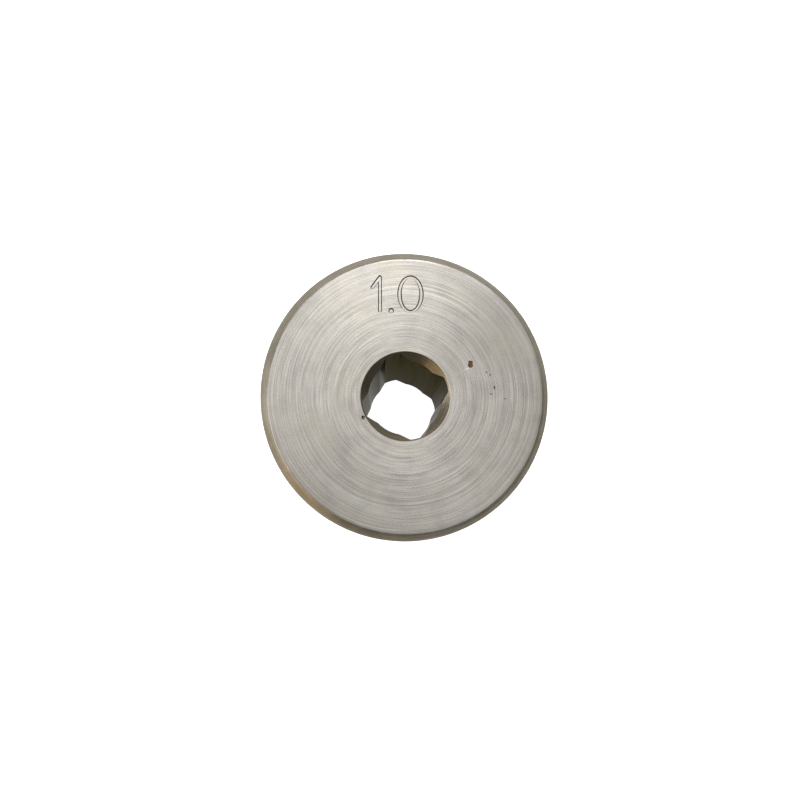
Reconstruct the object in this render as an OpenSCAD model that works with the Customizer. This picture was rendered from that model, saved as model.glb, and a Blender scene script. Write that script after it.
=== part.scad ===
// Feed roller: one turned steel disc, driven by a square shaft through its middle.
// It lies on its back face, with its axis along +Z and its origin in the middle of
// that face. The flats of the drive hole face along X and Y.

/* [Roller] */
// Outer diameter of the rim
roller_d = 37; // [30:0.5:60]
// Width from the back face to the front face
roller_w = 16; // [12:0.5:24]
// Chamfer between the rim and each face, at 45 degrees
edge_chamfer = 1; // [0.3:0.1:1.5]

/* [Drive hole] */
// Distance across the flats of the square hole
square_af = 9; // [6:0.5:12]
// Diameter that cuts off the corners of the square
corner_d = 11; // [10.4:0.1:12.4]
// Diameter of the pilot drilling, a little more than the flats are apart
pilot_d = 9.5; // [9.2:0.1:10]
// Diameter of the countersunk mouth on each face
mouth_d = 11.4; // [11.1:0.1:14]

/* [Rim grooves] */
// Distance between the middles of the two wire grooves
groove_pitch = 7; // [4:0.5:8]
// Width of each groove at the rim
groove_w = 1.5; // [0.8:0.1:2]
// Angle between the sides of each groove, in degrees
groove_angle = 60; // [30:5:90]
// Width of the flat at the bottom of each groove
groove_floor = 0.1; // [0.05:0.05:0.3]

/* [Engraved number] */
// Height of the digits
digit_h = 4.7; // [3:0.1:6]
// Width of the zero
zero_w = 3.3; // [2:0.1:4]
// Width of every stroke
stroke_w = 0.42; // [0.2:0.02:0.6]
// Depth of the engraving
engrave_depth = 0.2; // [0.05:0.05:0.4]
// Distance from the roller's axis to the middle height of the digits
number_r = 13; // [11:0.1:14]
// Turn of the number away from +Y, in degrees
number_turn = 28; // [0:1:89]

/* [Hidden] */

roller_r = roller_d / 2;
face_r = roller_r - edge_chamfer;
groove_depth = (groove_w - groove_floor) / 2 / tan(groove_angle / 2);
mouth_depth = (mouth_d - pilot_d) / 2;
overlap = 0.5;

// Place of each character across the number, from the line through the roller's axis
one_stem_x = -3.25;
one_flag_x = -4.25;
one_flag_drop = 1.55;
dot_x = -1.65;
dot_d = 0.62;
zero_x = 0.8;

$fn = 128;

// Half of the cross-section: radius along X, height along Y
module roller_profile() {
    low_groove = (roller_w - groove_pitch) / 2;
    high_groove = (roller_w + groove_pitch) / 2;
    polygon(concat(
        [[0, 0], [face_r, 0], [roller_r, edge_chamfer]],
        groove_points(low_groove),
        groove_points(high_groove),
        [[roller_r, roller_w - edge_chamfer], [face_r, roller_w], [0, roller_w]]
    ));
}

// The four corners of one V groove whose middle is at height z
function groove_points(z) = [
    [roller_r, z - groove_w / 2],
    [roller_r - groove_depth, z - groove_floor / 2],
    [roller_r - groove_depth, z + groove_floor / 2],
    [roller_r, z + groove_w / 2]
];

// The broached square, with its corners cut round
module broached_square() {
    length = roller_w + 2 * overlap;
    intersection() {
        translate([-square_af / 2, -square_af / 2, -overlap])
            cube([square_af, square_af, length]);
        translate([0, 0, -2 * overlap])
            cylinder(d = corner_d, h = length + 2 * overlap);
    }
}

// The round pilot drilling that the broach followed
module pilot_drilling() {
    translate([0, 0, -overlap])
        cylinder(d = pilot_d, h = roller_w + 2 * overlap);
}

// A 45 degree countersink that opens downwards from height 0
module mouth_countersink() {
    translate([0, 0, -overlap])
        cylinder(
            d1 = mouth_d + 2 * overlap,
            d2 = pilot_d - 2 * overlap,
            h = mouth_depth + 2 * overlap
        );
}

// A point on an oval of the given half width and half height
function oval_point(half_w, half_h, angle) = [half_w * cos(angle), half_h * sin(angle)];

module oval(half_w, half_h) {
    polygon([for (angle = [0:7.5:352.5]) oval_point(half_w, half_h, angle)]);
}

// A one with a slanting flag: up the stem's left side, round the flag, down the right
module digit_one() {
    top = digit_h / 2;
    polygon([
        [one_stem_x, -top],
        [one_stem_x, top - 2 * stroke_w],
        [one_flag_x + stroke_w * 0.7, top - one_flag_drop - stroke_w * 0.7],
        [one_flag_x, top - one_flag_drop],
        [one_stem_x + stroke_w * 0.6, top],
        [one_stem_x + stroke_w, top],
        [one_stem_x + stroke_w, -top]
    ]);
}

module number_dot() {
    translate([dot_x, dot_d / 2 - digit_h / 2])
        circle(d = dot_d, $fn = 32);
}

module digit_zero() {
    translate([zero_x, 0])
        difference() {
            oval(zero_w / 2, digit_h / 2);
            oval(zero_w / 2 - stroke_w, digit_h / 2 - stroke_w);
        }
}

// The size number, cut into the front face
module engraved_number() {
    rotate([0, 0, number_turn])
        translate([0, number_r, roller_w - engrave_depth])
            linear_extrude(height = engrave_depth + overlap) {
                digit_one();
                number_dot();
                digit_zero();
            }
}

module roller() {
    color([0.72, 0.70, 0.67])
        difference() {
            rotate_extrude()
                roller_profile();
            broached_square();
            pilot_drilling();
            mouth_countersink();
            translate([0, 0, roller_w])
                mirror([0, 0, 1])
                    mouth_countersink();
            engraved_number();
        }
}

roller();
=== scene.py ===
import math
import random

import bmesh
import bpy
from mathutils import Matrix, Vector, noise


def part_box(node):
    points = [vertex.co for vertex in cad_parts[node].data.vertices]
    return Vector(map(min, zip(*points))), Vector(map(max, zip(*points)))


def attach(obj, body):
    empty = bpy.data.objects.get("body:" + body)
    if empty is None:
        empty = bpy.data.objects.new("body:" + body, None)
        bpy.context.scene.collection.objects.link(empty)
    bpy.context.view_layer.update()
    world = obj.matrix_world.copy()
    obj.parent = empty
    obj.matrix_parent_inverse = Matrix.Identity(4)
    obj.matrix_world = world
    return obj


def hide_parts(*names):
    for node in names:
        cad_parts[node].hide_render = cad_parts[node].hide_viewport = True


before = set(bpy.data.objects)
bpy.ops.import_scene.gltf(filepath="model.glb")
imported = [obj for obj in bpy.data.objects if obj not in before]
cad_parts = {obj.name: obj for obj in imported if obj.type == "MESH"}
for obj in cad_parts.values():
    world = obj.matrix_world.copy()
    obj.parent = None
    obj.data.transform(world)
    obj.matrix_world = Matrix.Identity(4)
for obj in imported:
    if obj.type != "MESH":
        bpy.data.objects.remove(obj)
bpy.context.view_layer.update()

# ---------------------------------------------------------------------------------------------
# Turned blank: a slice of mild steel bar, faced and chamfered in a lathe, with two V grooves
# turned in its rim for the wire. It is spun from its half section, ring by ring.
# ---------------------------------------------------------------------------------------------
MM = 0.001
roller_low, roller_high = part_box("roller")
width = (roller_high[2] - roller_low[2]) / MM
rim_r = min(roller_high[0], roller_high[1]) / MM
edge_chamfer = 1.0
face_r = rim_r - edge_chamfer
mouth_r = 5.7
turn_steps = 360

groove_pitch = 7.0
groove_half_w = 0.75
groove_floor_half_w = 0.05
groove_depth = (groove_half_w - groove_floor_half_w) / math.tan(math.radians(30))

# The facing tool was lifted and set again here, which left a step in the face. Its profile is
# given as distances from the step and shares of its depth.
step_r = 13.75
step_depth = 0.016
step_profile = [
    (-0.5, 0.0), (-0.3, 0.5), (-0.15, 0.5), (-0.04, 0.0), (0.04, 0.0),
    (0.2, 1.0), (0.4, 1.0), (0.9, 0.4), (1.2, 0.4),
]
mouth_burr_depth = 0.012
mouth_burr_w = 0.35
deeper_marks = 6
mark_margin = 0.8
mark_gap = 0.3
mark_lip_w = 0.04


def face_section(rng, tool_marks):
    """Radius and depth below the face, from the mouth to the chamfer, with the deeper tool marks."""
    points = [(mouth_r, mouth_burr_depth), (mouth_r + mouth_burr_w, 0.0)]
    inmost = mouth_r + mark_margin
    outmost = step_r - mark_margin
    marks = sorted(rng.uniform(inmost, outmost) for _ in range(tool_marks))
    for mark_r in marks:
        if mark_r - points[-1][0] < mark_gap:
            continue
        mark_depth = rng.uniform(0.004, 0.009)
        half_w = rng.uniform(0.05, 0.09)
        points += [
            (mark_r - half_w - mark_lip_w, 0.0),
            (mark_r - half_w, 0.0),
            (mark_r, mark_depth),
            (mark_r + half_w, 0.0),
            (mark_r + half_w + mark_lip_w, 0.0),
        ]
    points += [(step_r + away, step_depth * share) for away, share in step_profile]
    points += [(face_r - 0.5, step_depth * step_profile[-1][1])]
    return points


def groove_section(middle):
    """The four corners of one V groove, from its front side to its back side."""
    return [
        (rim_r, middle + groove_half_w),
        (rim_r - groove_depth, middle + groove_floor_half_w),
        (rim_r - groove_depth, middle - groove_floor_half_w),
        (rim_r, middle - groove_half_w),
    ]


tool_rng = random.Random(11)
front = [(r, width - depth) for r, depth in face_section(tool_rng, deeper_marks)]
back = [(r, depth) for r, depth in face_section(tool_rng, deeper_marks)]
rim = [
    (face_r, width),
    (rim_r, width - edge_chamfer),
    *groove_section((width + groove_pitch) / 2),
    *groove_section((width - groove_pitch) / 2),
    (rim_r, edge_chamfer),
    (face_r, 0.0),
]

body = bmesh.new()
section = [body.verts.new((r * MM, 0, z * MM)) for r, z in front + rim + back[::-1]]
for start, end in zip(section, section[1:]):
    body.edges.new((start, end))
bmesh.ops.bevel(
    body, geom=section[len(front):len(front) + len(rim)], offset=0.05 * MM, segments=2,
    profile=0.5, affect="VERTICES", material=-1,
)
bmesh.ops.spin(
    body, geom=body.verts[:] + body.edges[:], cent=(0, 0, 0), axis=(0, 0, 1),
    angle=math.tau, steps=turn_steps, use_merge=True,
)

# ---------------------------------------------------------------------------------------------
# Drive hole: drilled, countersunk on both faces, then broached square by a toothed bar that was
# pulled through. The drilling was wider than the flats, so it still shows in their middles.
# ---------------------------------------------------------------------------------------------
half_across_flats = 4.5
corner_r = 5.5
pilot_r = 4.75


def hole_radius(angle):
    """Distance from the axis to the wall of the hole, in millimetres."""
    from_flat = (angle + math.pi / 4) % (math.pi / 2) - math.pi / 4
    return min(corner_r, max(pilot_r, half_across_flats / math.cos(from_flat)))


def countersink(mesh, height, inward):
    """Draws the open edge of one mouth down a 45 degree cone to the outline of the hole."""
    mouth = [
        edge for edge in mesh.edges
        if edge.is_boundary and abs(edge.verts[0].co.z / MM - height) < 0.1
    ]
    grown = bmesh.ops.extrude_edge_only(mesh, edges=mouth)["geom"]
    for vert in (item for item in grown if isinstance(item, bmesh.types.BMVert)):
        angle = math.atan2(vert.co.y, vert.co.x)
        radius = hole_radius(angle)
        vert.co.x = math.cos(angle) * radius * MM
        vert.co.y = math.sin(angle) * radius * MM
        vert.co.z = (height + inward * (mouth_r - radius)) * MM


countersink(body, width, -1)
countersink(body, 0.0, 1)
bmesh.ops.bridge_loops(body, edges=[edge for edge in body.edges if edge.is_boundary])
bmesh.ops.recalc_face_normals(body, faces=body.faces[:])

# The broach's teeth scored the walls along the pull, each tooth a little differently
score_depth = 0.012
scores_round_turn = 22
for vert in body.verts:
    radius = vert.co.xy.length / MM
    if radius < corner_r + 0.01:
        angle = math.atan2(vert.co.y, vert.co.x)
        direction = Vector((math.cos(angle), math.sin(angle), 0))
        score = noise.noise(direction * scores_round_turn) * score_depth
        vert.co.x *= 1 + score / radius
        vert.co.y *= 1 + score / radius

# The chamfer tool left a ragged edge, most of it a few hundredths of a millimetre, and on the
# front it cut about a tenth of a millimetre deeper on one side
slow_wander = 0.04
quick_wander = 0.05
front_edge_shift = Vector((0.128, -0.06, 0)) * MM
front_edge_r = 17.39
front_edge_scale = front_edge_r / face_r
for vert in body.verts:
    radius = vert.co.xy.length / MM
    if radius > face_r - 0.2:
        direction = Vector((vert.co.x, vert.co.y, 0)).normalized()
        wander = noise.noise(direction * 9 + Vector((0, 0, vert.co.z / MM * 2))) * slow_wander
        wander += noise.noise(direction * 70 + Vector((0, 0, vert.co.z / MM * 4))) * quick_wander
        # The outer edge wanders less, and only inward
        wander = min(wander, 0.0) * 0.4 if radius > rim_r - 0.2 else wander
        vert.co.x *= 1 + wander / radius
        vert.co.y *= 1 + wander / radius
        if vert.co.z / MM > width - 0.1:
            vert.co.x *= front_edge_scale
            vert.co.y *= front_edge_scale
            vert.co += front_edge_shift

# ---------------------------------------------------------------------------------------------
# Steel of the roller: bare mild steel, bright where it was turned last and darker on the chamfers.
# The dark colour in the hole and in the number's walls is painted shade, and the countersinks'
# golden brown is painted reflection. Each surface has the marks of the tool that cut it.
# ---------------------------------------------------------------------------------------------


def linear(hex_colour):
    """An sRGB colour such as "#c8c4bc" as the linear colour that a shader takes."""
    channels = [int(hex_colour[i:i + 2], 16) / 255 for i in (1, 3, 5)]
    return [c / 12.92 if c <= 0.04045 else ((c + 0.055) / 1.055) ** 2.4 for c in channels] + [1.0]


def add(tree, kind, inputs=None, **settings):
    """Adds one node: its settings, and for each input a fixed value or the socket that feeds it."""
    node = tree.nodes.new(kind)
    for name, value in settings.items():
        setattr(node, name, value)
    for name, value in (inputs or {}).items():
        if isinstance(value, bpy.types.NodeSocket):
            tree.links.new(value, node.inputs[name])
        else:
            node.inputs[name].default_value = value
    return node


def new_material(name):
    """An empty node material, with its shader, and the place on the object in millimetres."""
    material = bpy.data.materials.new(name)
    material.use_nodes = True
    tree = material.node_tree
    tree.nodes.clear()
    shader = add(tree, "ShaderNodeBsdfPrincipled")
    add(tree, "ShaderNodeOutputMaterial", {"Surface": shader.outputs["BSDF"]})
    place = add(tree, "ShaderNodeTexCoord").outputs["Object"]
    place = add(tree, "ShaderNodeVectorMath", {0: place, "Scale": 1000.0}, operation="SCALE")
    return material, tree, shader, place.outputs["Vector"]


def round_axis(tree, place):
    """Distance from the roller's axis, and the direction away from it."""
    flat = add(tree, "ShaderNodeVectorMath", {0: place, 1: (1, 1, 0)}, operation="MULTIPLY")
    flat = flat.outputs["Vector"]
    radius = add(tree, "ShaderNodeVectorMath", {0: flat}, operation="LENGTH").outputs["Value"]
    outward = add(tree, "ShaderNodeVectorMath", {0: flat}, operation="NORMALIZE")
    return radius, outward.outputs["Vector"]


def ring_noise(tree, radius, outward, place, pitch, fade, rise):
    """Rings about a pitch apart, in millimetres, that come and go round the turn."""
    height = add(tree, "ShaderNodeSeparateXYZ", {0: place}).outputs["Z"]
    travel = add(tree, "ShaderNodeMath", {0: height, 1: rise, 2: radius}, operation="MULTIPLY_ADD")
    count = add(tree, "ShaderNodeMath", {0: travel.outputs[0], 1: 1 / pitch}, operation="MULTIPLY")
    spread = add(tree, "ShaderNodeVectorMath", {0: outward, "Scale": fade}, operation="SCALE")
    along = add(tree, "ShaderNodeCombineXYZ", {"Z": count.outputs[0]})
    where = add(
        tree, "ShaderNodeVectorMath",
        {0: spread.outputs["Vector"], 1: along.outputs["Vector"]}, operation="ADD",
    )
    rings = add(
        tree, "ShaderNodeTexNoise",
        {"Vector": where.outputs["Vector"], "Scale": 1.0, "Detail": 2.0, "Roughness": 0.6},
    )
    return rings.outputs["Fac"]


# The least and the most that the rings and the grit add up to, where the colours are full
least_marks = 0.69
most_marks = 1.01


def turned_steel(name, dark, light, stain, pitch, roughness, depth, rise=0.4):
    """Steel cut by a lathe tool: fine rings, a few broader ones, a faint stain and a cool tint."""
    material, tree, shader, place = new_material(name)
    radius, outward = round_axis(tree, place)
    fine = ring_noise(tree, radius, outward, place, pitch * 0.4, 1.6, rise)
    broad = ring_noise(tree, radius, outward, place, pitch * 2.5, 1.2, rise)
    cloud = add(tree, "ShaderNodeTexNoise", {"Vector": place, "Scale": 0.22, "Detail": 3.0})
    grit = add(tree, "ShaderNodeTexNoise", {"Vector": place, "Scale": 6.0, "Detail": 3.0})

    both = add(
        tree, "ShaderNodeMath", {0: broad, 1: 0.2, 2: fine}, operation="MULTIPLY_ADD"
    ).outputs[0]
    both = add(
        tree, "ShaderNodeMath", {0: grit.outputs["Fac"], 1: 0.5, 2: both}, operation="MULTIPLY_ADD"
    ).outputs[0]
    light_part = add(
        tree, "ShaderNodeMapRange",
        {"Value": both, "From Min": least_marks, "From Max": most_marks},
    ).outputs["Result"]
    steel = add(
        tree, "ShaderNodeMix", {0: light_part, 6: linear(dark), 7: linear(light)},
        data_type="RGBA",
    ).outputs[2]
    stain_part = add(
        tree, "ShaderNodeMapRange",
        {"Value": cloud.outputs["Fac"], "From Min": 0.45, "From Max": 0.75, "To Max": 0.5},
    ).outputs["Result"]
    colour = add(
        tree, "ShaderNodeMix", {0: stain_part, 6: steel, 7: linear(stain)}, data_type="RGBA"
    ).outputs[2]
    cool_cloud = add(
        tree, "ShaderNodeTexNoise",
        {"Vector": place, "W": 7.0, "Scale": 0.5, "Detail": 4.0}, noise_dimensions="4D",
    )
    cool_part = add(
        tree, "ShaderNodeMapRange",
        {"Value": cool_cloud.outputs["Fac"], "From Min": 0.45, "From Max": 0.7, "To Max": 0.3},
    ).outputs["Result"]
    colour = add(
        tree, "ShaderNodeMix", {0: cool_part, 6: colour, 7: linear("#c9ccd4")},
        data_type="RGBA", blend_type="MULTIPLY",
    ).outputs[2]
    dull = add(
        tree, "ShaderNodeMapRange",
        {"Value": both, "From Min": least_marks, "From Max": most_marks,
         "To Min": roughness + 0.06, "To Max": roughness - 0.06},
    ).outputs["Result"]
    relief = add(
        tree, "ShaderNodeBump", {"Height": both, "Distance": depth * MM, "Strength": 1.0}
    ).outputs["Normal"]
    shader.inputs["Metallic"].default_value = 1.0
    shader.inputs["Anisotropic"].default_value = 0.5
    tree.links.new(colour, shader.inputs["Base Color"])
    tree.links.new(dull, shader.inputs["Roughness"])
    tree.links.new(relief, shader.inputs["Normal"])
    # On a face the rings stretch the shine outward. On the rim outward is the way it looks.
    if rise < 1:
        tree.links.new(outward, shader.inputs["Tangent"])
    return material


# Faced with a round-nosed tool: fine rings under coarser ones, and a soft warm shine
face_steel = turned_steel(
    "faced_mild_steel", "#b4aea5", "#dad6cf", "#cfc8b8", 0.24, 0.34, 0.006,
)
# Chamfered in one plunge with a broad tool, which tears the steel and leaves it duller
chamfer_steel = turned_steel(
    "chamfered_mild_steel", "#938b7b", "#afa798", "#8f8466", 0.12, 0.38, 0.006,
)
# Countersunk after drilling: coarse rings. Its golden brown colour is a painted reflection of warm
# light off the far side of the mouth.
gold_reflection_countersink_steel = turned_steel(
    "countersunk_steel_painted_reflection", "#7b7363", "#a69c88", "#8a7a5a", 0.2, 0.36, 0.01,
)
# The rim is turned finer than the faces, because the wire runs on it
rim_steel = turned_steel(
    "turned_rim_steel", "#aca8a2", "#c6c2bb", "#b4ac9c", 0.16, 0.3, 0.004, rise=1.0,
)

# Broached wall: scored straight along the pull, with a low grey shine. Its dark colour is painted
# shade of the inside of the hole.
shaded_broached_steel, tree, shader, place = new_material("broached_steel_painted_shade")
pull_marks = add(
    tree, "ShaderNodeVectorMath", {0: place, 1: (6.0, 6.0, 0.12)}, operation="MULTIPLY"
)
scores = add(
    tree, "ShaderNodeTexNoise",
    {"Vector": pull_marks.outputs["Vector"], "Scale": 1.0, "Detail": 3.0},
).outputs["Fac"]
# Both scored colours are dark: painted shade inside the hole, mixed by the scores
scored_shaded_colour = add(
    tree, "ShaderNodeMix",
    {0: scores, 6: linear("#4b4944"), 7: linear("#706e67")}, data_type="RGBA",
).outputs[2]
scored_relief = add(tree, "ShaderNodeBump", {"Height": scores, "Distance": 0.02 * MM})
shader.inputs["Metallic"].default_value = 1.0
shader.inputs["Specular Tint"].default_value = linear("#918f88")
shader.inputs["Roughness"].default_value = 0.26
tree.links.new(scored_shaded_colour, shader.inputs["Base Color"])
tree.links.new(scored_relief.outputs["Normal"], shader.inputs["Normal"])

finishes = [face_steel, chamfer_steel, gold_reflection_countersink_steel, rim_steel, shaded_broached_steel]


def finish_number(face):
    """Which of the finishes a face of the roller has, from where it lies and which way it looks."""
    middle = face.calc_center_median()
    radius = middle.xy.length / MM
    slope = abs(face.normal.z)
    if radius < mouth_r:
        return finishes.index(gold_reflection_countersink_steel if slope > 0.3 else shaded_broached_steel)
    if radius < face_r - 0.06:
        return finishes.index(face_steel)
    near_face = min(middle.z / MM, width - middle.z / MM) < edge_chamfer
    return finishes.index(chamfer_steel if near_face else rim_steel)


body.normal_update()
for face in body.faces:
    face.material_index = finish_number(face)
    face.smooth = True

roller_mesh = bpy.data.meshes.new("roller_steel")
body.to_mesh(roller_mesh)
body.free()
for finish in finishes:
    roller_mesh.materials.append(finish)
roller = bpy.data.objects.new("roller_steel", roller_mesh)
bpy.context.scene.collection.objects.link(roller)

# ---------------------------------------------------------------------------------------------
# Size number: cut into the front face with a small tapered cutter that follows one line for
# each stroke, so every stroke has sloping walls, a narrow floor and round ends.
# ---------------------------------------------------------------------------------------------
number_turn = math.radians(28)
across = Vector((math.cos(number_turn), math.sin(number_turn), 0))
upward = Vector((-math.sin(number_turn), math.cos(number_turn), 0))
face_centre = Vector((0, 0, roller_high[2]))

stroke_half_w = 0.25
stroke_floor_half_w = 0.13
stroke_depth = 0.17
above_face = 0.1
wall_slope = (stroke_half_w - stroke_floor_half_w) / stroke_depth
stroke_top_half_w = stroke_half_w + wall_slope * above_face
number_middle = 12.93
digit_half_h = 2.36

# The floor of a stroke is scraped smooth by the cutter's tip, and shines like the face
engraved_steel = turned_steel(
    "engraved_floor_steel", "#bcb6ad", "#dad6cf", "#cfc8b8", 0.12, 0.34, 0.003,
)
# Its walls get a darker, rougher steel. The darker colour is painted shade in the strokes, and in
# the small dents that share it.
shaded_wall_steel = turned_steel(
    "engraved_wall_painted_shade_steel", "#625c53", "#888176", "#756b5a", 0.12, 0.5, 0.003,
)


def beside_face(right, up, above):
    """A place given in millimetres from the middle of the front face, with its number upright."""
    return face_centre + (across * right + upward * up + Vector((0, 0, above))) * MM


def to_face(mesh):
    """Lays a mesh made in millimetres, upright in X and Y, on the front face."""
    lay = Matrix((across * MM, upward * MM, Vector((0, 0, MM)))).transposed().to_4x4()
    bmesh.ops.transform(mesh, matrix=Matrix.Translation(face_centre) @ lay, verts=mesh.verts)
    bmesh.ops.recalc_face_normals(mesh, faces=mesh.faces[:])


def oval(mesh, half_w, half_h, depth, run=0.0):
    """An oval of corners at a depth below the face, with its right half carried on by a run."""
    made = bmesh.ops.create_circle(mesh, segments=64, radius=1.0)["verts"]
    for vert in made:
        vert.co = (vert.co.x * half_w + (run if vert.co.x > 0 else 0), vert.co.y * half_h, -depth)
    return made


def skin(mesh, first, second):
    """Joins two ovals of corners with a band of faces, and marks it as wall where it slopes."""
    for i, corner in enumerate(first):
        band = mesh.faces.new((first[i - 1], corner, second[i], second[i - 1]))
        band.material_index = int(abs(first[0].co.z - second[0].co.z) > 0.01)


def straight_stroke(start, end, half_w=stroke_half_w):
    """The hollow that the cutter leaves between two points."""
    mesh = bmesh.new()
    run = Vector(end) - Vector(start)
    top_half_w = half_w + wall_slope * above_face
    floor_half_w = half_w - wall_slope * stroke_depth
    top = oval(mesh, top_half_w, top_half_w, -above_face, run.length)
    floor = oval(mesh, floor_half_w, floor_half_w, stroke_depth, run.length)
    skin(mesh, top, floor)
    mesh.faces.new(top)
    mesh.faces.new(floor)
    turn = Matrix.Rotation(math.atan2(run.y, run.x), 4, "Z")
    bmesh.ops.transform(mesh, matrix=Matrix.Translation((*start, 0)) @ turn, verts=mesh.verts)
    return mesh


def oval_stroke(middle, half_w, half_h):
    """The hollow that the cutter leaves round an oval."""
    mesh = bmesh.new()
    sides = [
        oval(mesh, half_w + spread * 1.15, half_h + spread * 0.7, depth)
        for spread, depth in (
            (stroke_top_half_w, -above_face),
            (stroke_floor_half_w, stroke_depth),
            (-stroke_floor_half_w, stroke_depth),
            (-stroke_top_half_w, -above_face),
        )
    ]
    for i, side in enumerate(sides):
        skin(mesh, sides[i - 1], side)
    bmesh.ops.translate(mesh, vec=(*middle, 0), verts=mesh.verts)
    return mesh


def cut_from_roller(mesh, floor_finish, wall_finish):
    """Takes a closed mesh away from the roller, and gives the new floor and walls their finish."""
    to_face(mesh)
    cutter_mesh = bpy.data.meshes.new("cutter")
    mesh.to_mesh(cutter_mesh)
    mesh.free()
    cutter_mesh.materials.append(floor_finish)
    cutter_mesh.materials.append(wall_finish)
    cutter = bpy.data.objects.new("cutter", cutter_mesh)
    bpy.context.scene.collection.objects.link(cutter)
    difference = roller.modifiers.new("cut", "BOOLEAN")
    difference.object = cutter
    difference.operation = "DIFFERENCE"
    difference.solver = "EXACT"
    difference.material_mode = "TRANSFER"
    cut = bpy.data.meshes.new_from_object(
        roller.evaluated_get(bpy.context.evaluated_depsgraph_get())
    )
    roller.modifiers.clear()
    roller.data = cut
    bpy.data.objects.remove(cutter)


stem_x = -3.22
stem_top = (stem_x, number_middle + digit_half_h - stroke_half_w)
stem_foot = (stem_x, number_middle - digit_half_h + stroke_half_w)
flag_tip = (stem_x - 0.95, stem_top[1] - 1.28)
dot_start = (-1.8, 10.82)
dot_end = (-1.79, 10.82)
dot_half_w = 0.34
zero_middle = (0.64, number_middle)
zero_half_w = 1.39
zero_half_h = 2.19
strokes = [
    straight_stroke(stem_foot, stem_top),
    straight_stroke(flag_tip, stem_top),
    straight_stroke(dot_start, dot_end, dot_half_w),
    oval_stroke(zero_middle, zero_half_w, zero_half_h),
]
for stroke in strokes:
    cut_from_roller(stroke, engraved_steel, shaded_wall_steel)

# ---------------------------------------------------------------------------------------------
# Pits and dents: one speck of rust that has eaten into the face, five small knocks outward of it,
# and one deeper dent beside the mouth. All are hollows in the roller's own steel.
# ---------------------------------------------------------------------------------------------
# Rust that grew in the pit: a dry brown crust, rough and no longer metal, so it doesn't shine
rust, tree, shader, place = new_material("rust")
flakes = add(
    tree, "ShaderNodeTexNoise", {"Vector": place, "Scale": 12.0, "Detail": 3.0}
).outputs["Fac"]
rust_colour = add(
    tree, "ShaderNodeMix",
    {0: flakes, 6: linear("#56412f"), 7: linear("#86684c")}, data_type="RGBA",
).outputs[2]
shader.inputs["Roughness"].default_value = 0.9
tree.links.new(rust_colour, shader.inputs["Base Color"])


def pit(right, up, half_w, half_h, depth, finish=rust):
    """A shallow hollow with an uneven outline."""
    mesh = bmesh.new()
    bmesh.ops.create_icosphere(mesh, subdivisions=3, radius=1.0)
    for vert in mesh.verts:
        vert.co *= 1 + 0.35 * noise.noise(vert.co * 1.7 + Vector((right, up, 0)))
    bmesh.ops.scale(mesh, vec=(half_w, half_h, depth), verts=mesh.verts)
    bmesh.ops.translate(mesh, vec=(right, up, 0), verts=mesh.verts)
    cut_from_roller(mesh, finish, finish)


pit(8.25, 4.1, 0.31, 0.52, 0.1)
# The five knocks and the dent beside the mouth take the engraved walls' steel, so their dark colour
# is painted shade
pit(10.3, 3.1, 0.13, 0.1, 0.05, shaded_wall_steel)
pit(10.75, 2.75, 0.1, 0.12, 0.05, shaded_wall_steel)
pit(11.3, 1.15, 0.12, 0.2, 0.06, shaded_wall_steel)
pit(10.9, 0.35, 0.16, 0.08, 0.05, shaded_wall_steel)
pit(12.7, -0.25, 0.12, 0.08, 0.05, shaded_wall_steel)
pit(-5.35, -2.7, 0.24, 0.26, 0.14, shaded_wall_steel)

roller.data.set_sharp_from_angle(angle=math.radians(25))
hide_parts("roller")
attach(roller, "root")

# ---------------------------------------------------------------------------------------------
# Light table: a pale acrylic sheet that the roller lies on, brightest under the hole. It looks
# white from above, is clear from below, and is not part of the roller.
# ---------------------------------------------------------------------------------------------
# Acrylic lit from behind: cast smooth and matt, so it looks evenly white with no shadow on it
lamp_r = 8.0
lamp_fade_r = 16.0
table_half_size = 1.5
table_material, tree, shader, place = new_material("lit_white_acrylic")
shader.inputs["Base Color"].default_value = linear("#f4f4f2")
shader.inputs["Roughness"].default_value = 0.8
shader.inputs["Emission Color"].default_value = linear("#ffffff")
seen = add(tree, "ShaderNodeLightPath").outputs["Is Camera Ray"]
lamp = add(tree, "ShaderNodeVectorMath", {0: place}, operation="LENGTH").outputs["Value"]
lamp = add(
    tree, "ShaderNodeMapRange",
    {"Value": lamp, "From Min": lamp_r, "From Max": lamp_fade_r, "To Min": 0.8, "To Max": 0.08},
).outputs["Result"]
glow = add(tree, "ShaderNodeMath", {0: seen, 1: lamp}, operation="MAXIMUM")
tree.links.new(glow.outputs[0], shader.inputs["Emission Strength"])
below = add(tree, "ShaderNodeNewGeometry").outputs["Backfacing"]
clear = add(tree, "ShaderNodeBsdfTransparent").outputs["BSDF"]
sheet = add(tree, "ShaderNodeMixShader", {0: below, 1: shader.outputs["BSDF"], 2: clear})
output = next(node for node in tree.nodes if node.type == "OUTPUT_MATERIAL")
tree.links.new(sheet.outputs["Shader"], output.inputs["Surface"])
table_top = bmesh.new()
bmesh.ops.create_grid(table_top, x_segments=1, y_segments=1, size=table_half_size)
table_mesh = bpy.data.meshes.new("table")
table_top.to_mesh(table_mesh)
table_top.free()
table_mesh.materials.append(table_material)
table = bpy.data.objects.new("table", table_mesh)
bpy.context.scene.collection.objects.link(table)

# ---------------------------------------------------------------------------------------------
# Studio light: five square soft panels, the key beyond the number and a warm one on the other
# side, in a dim room that is brighter on the number's side and looks plain white.
# ---------------------------------------------------------------------------------------------
panel_size = 0.2


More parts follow.
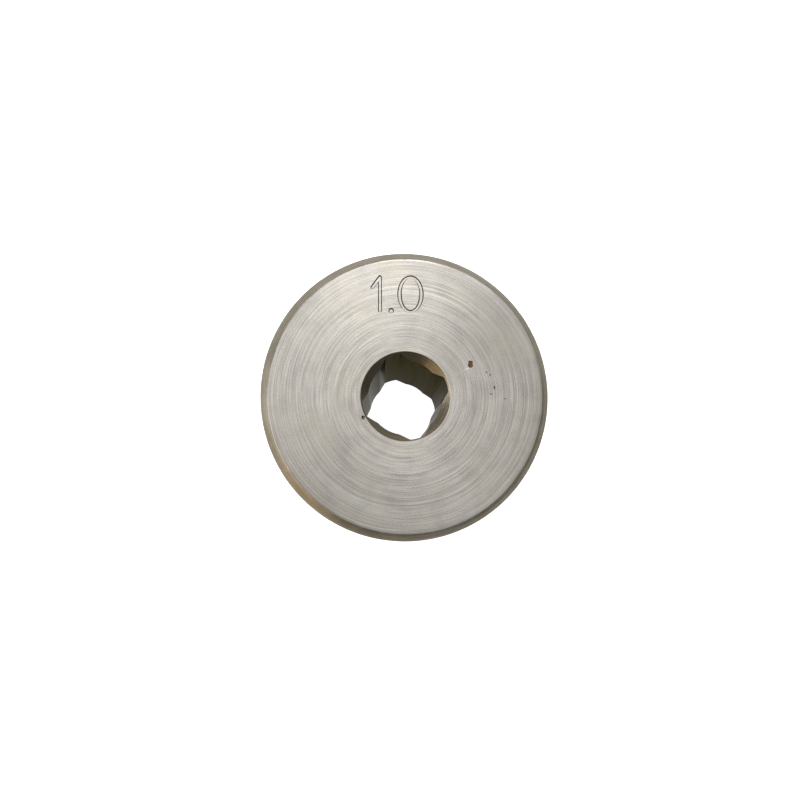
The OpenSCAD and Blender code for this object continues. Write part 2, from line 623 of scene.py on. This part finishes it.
def soft_panel(name, place, watts, colour):
    """A square soft light that faces the roller."""
    panel_data = bpy.data.lights.new(name, "AREA")
    panel_data.shape = "SQUARE"
    panel_data.size = panel_size
    panel_data.energy = watts
    panel_data.color = linear(colour)[:3]
    panel = bpy.data.objects.new(name, panel_data)
    away = (place - face_centre).normalized()
    turn = away.to_track_quat("Z", "Y").to_matrix().to_4x4()
    panel.matrix_world = Matrix.Translation(place) @ turn
    bpy.context.scene.collection.objects.link(panel)


soft_panel("key_panel", beside_face(0, 233, 233), 0.236, "#ffffff")
soft_panel("corner_panel", beside_face(-99, 99, 299), 0.071, "#ffffff")
soft_panel("overhead_panel", beside_face(46, 0, 327), 0.076, "#ffffff")
soft_panel("warm_panel", beside_face(-250, -180, 100), 0.14, "#ffdcaa")
soft_panel("left_panel", beside_face(-299, 0, 140), 0.318, "#ffffff")

world = bpy.data.worlds.new("studio")
world.use_nodes = True
tree = world.node_tree
room = tree.nodes["Background"]
room.inputs["Color"].default_value = linear("#ffffff")
look = add(tree, "ShaderNodeTexCoord").outputs["Generated"]
upper_wall = add(
    tree, "ShaderNodeVectorMath", {0: look, 1: upward * 0.86}, operation="DOT_PRODUCT"
).outputs["Value"]
upper_wall = add(tree, "ShaderNodeMath", {0: upper_wall, 1: 0.0}, operation="MAXIMUM").outputs[0]
walls = add(tree, "ShaderNodeMath", {0: upper_wall, 1: 0.15}).outputs[0]
seen = add(tree, "ShaderNodeLightPath").outputs["Is Camera Ray"]
walls = add(tree, "ShaderNodeMath", {0: seen, 1: walls}, operation="MAXIMUM").outputs[0]
tree.links.new(walls, room.inputs["Strength"])
bpy.context.scene.world = world
bpy.context.scene.view_settings.view_transform = "Standard"

# ---------------------------------------------------------------------------------------------
# Camera: a wide lens close above the roller, with the number upright. Its centre is shifted, so
# the roller is seen from a little below its middle and still sits in the middle of the view.
# ---------------------------------------------------------------------------------------------
camera_place = beside_face(-3.13, -11.33, 61.78)
camera_target = beside_face(-1.63, -11.47, 0)
sight = (camera_target - camera_place).normalized()
camera_right = sight.cross(upward).normalized()
camera_data = bpy.data.cameras.new("camera")
camera_data.lens = 22
camera_data.shift_x = 0.0093
camera_data.shift_y = 0.1088
camera_data.clip_start = 0.002
camera_data.clip_end = 10
camera = bpy.data.objects.new("camera", camera_data)
camera.matrix_world = Matrix.Translation(camera_place) @ Matrix(
    (camera_right, camera_right.cross(sight), -sight)
).transposed().to_4x4()
bpy.context.scene.collection.objects.link(camera)
bpy.context.scene.camera = camera
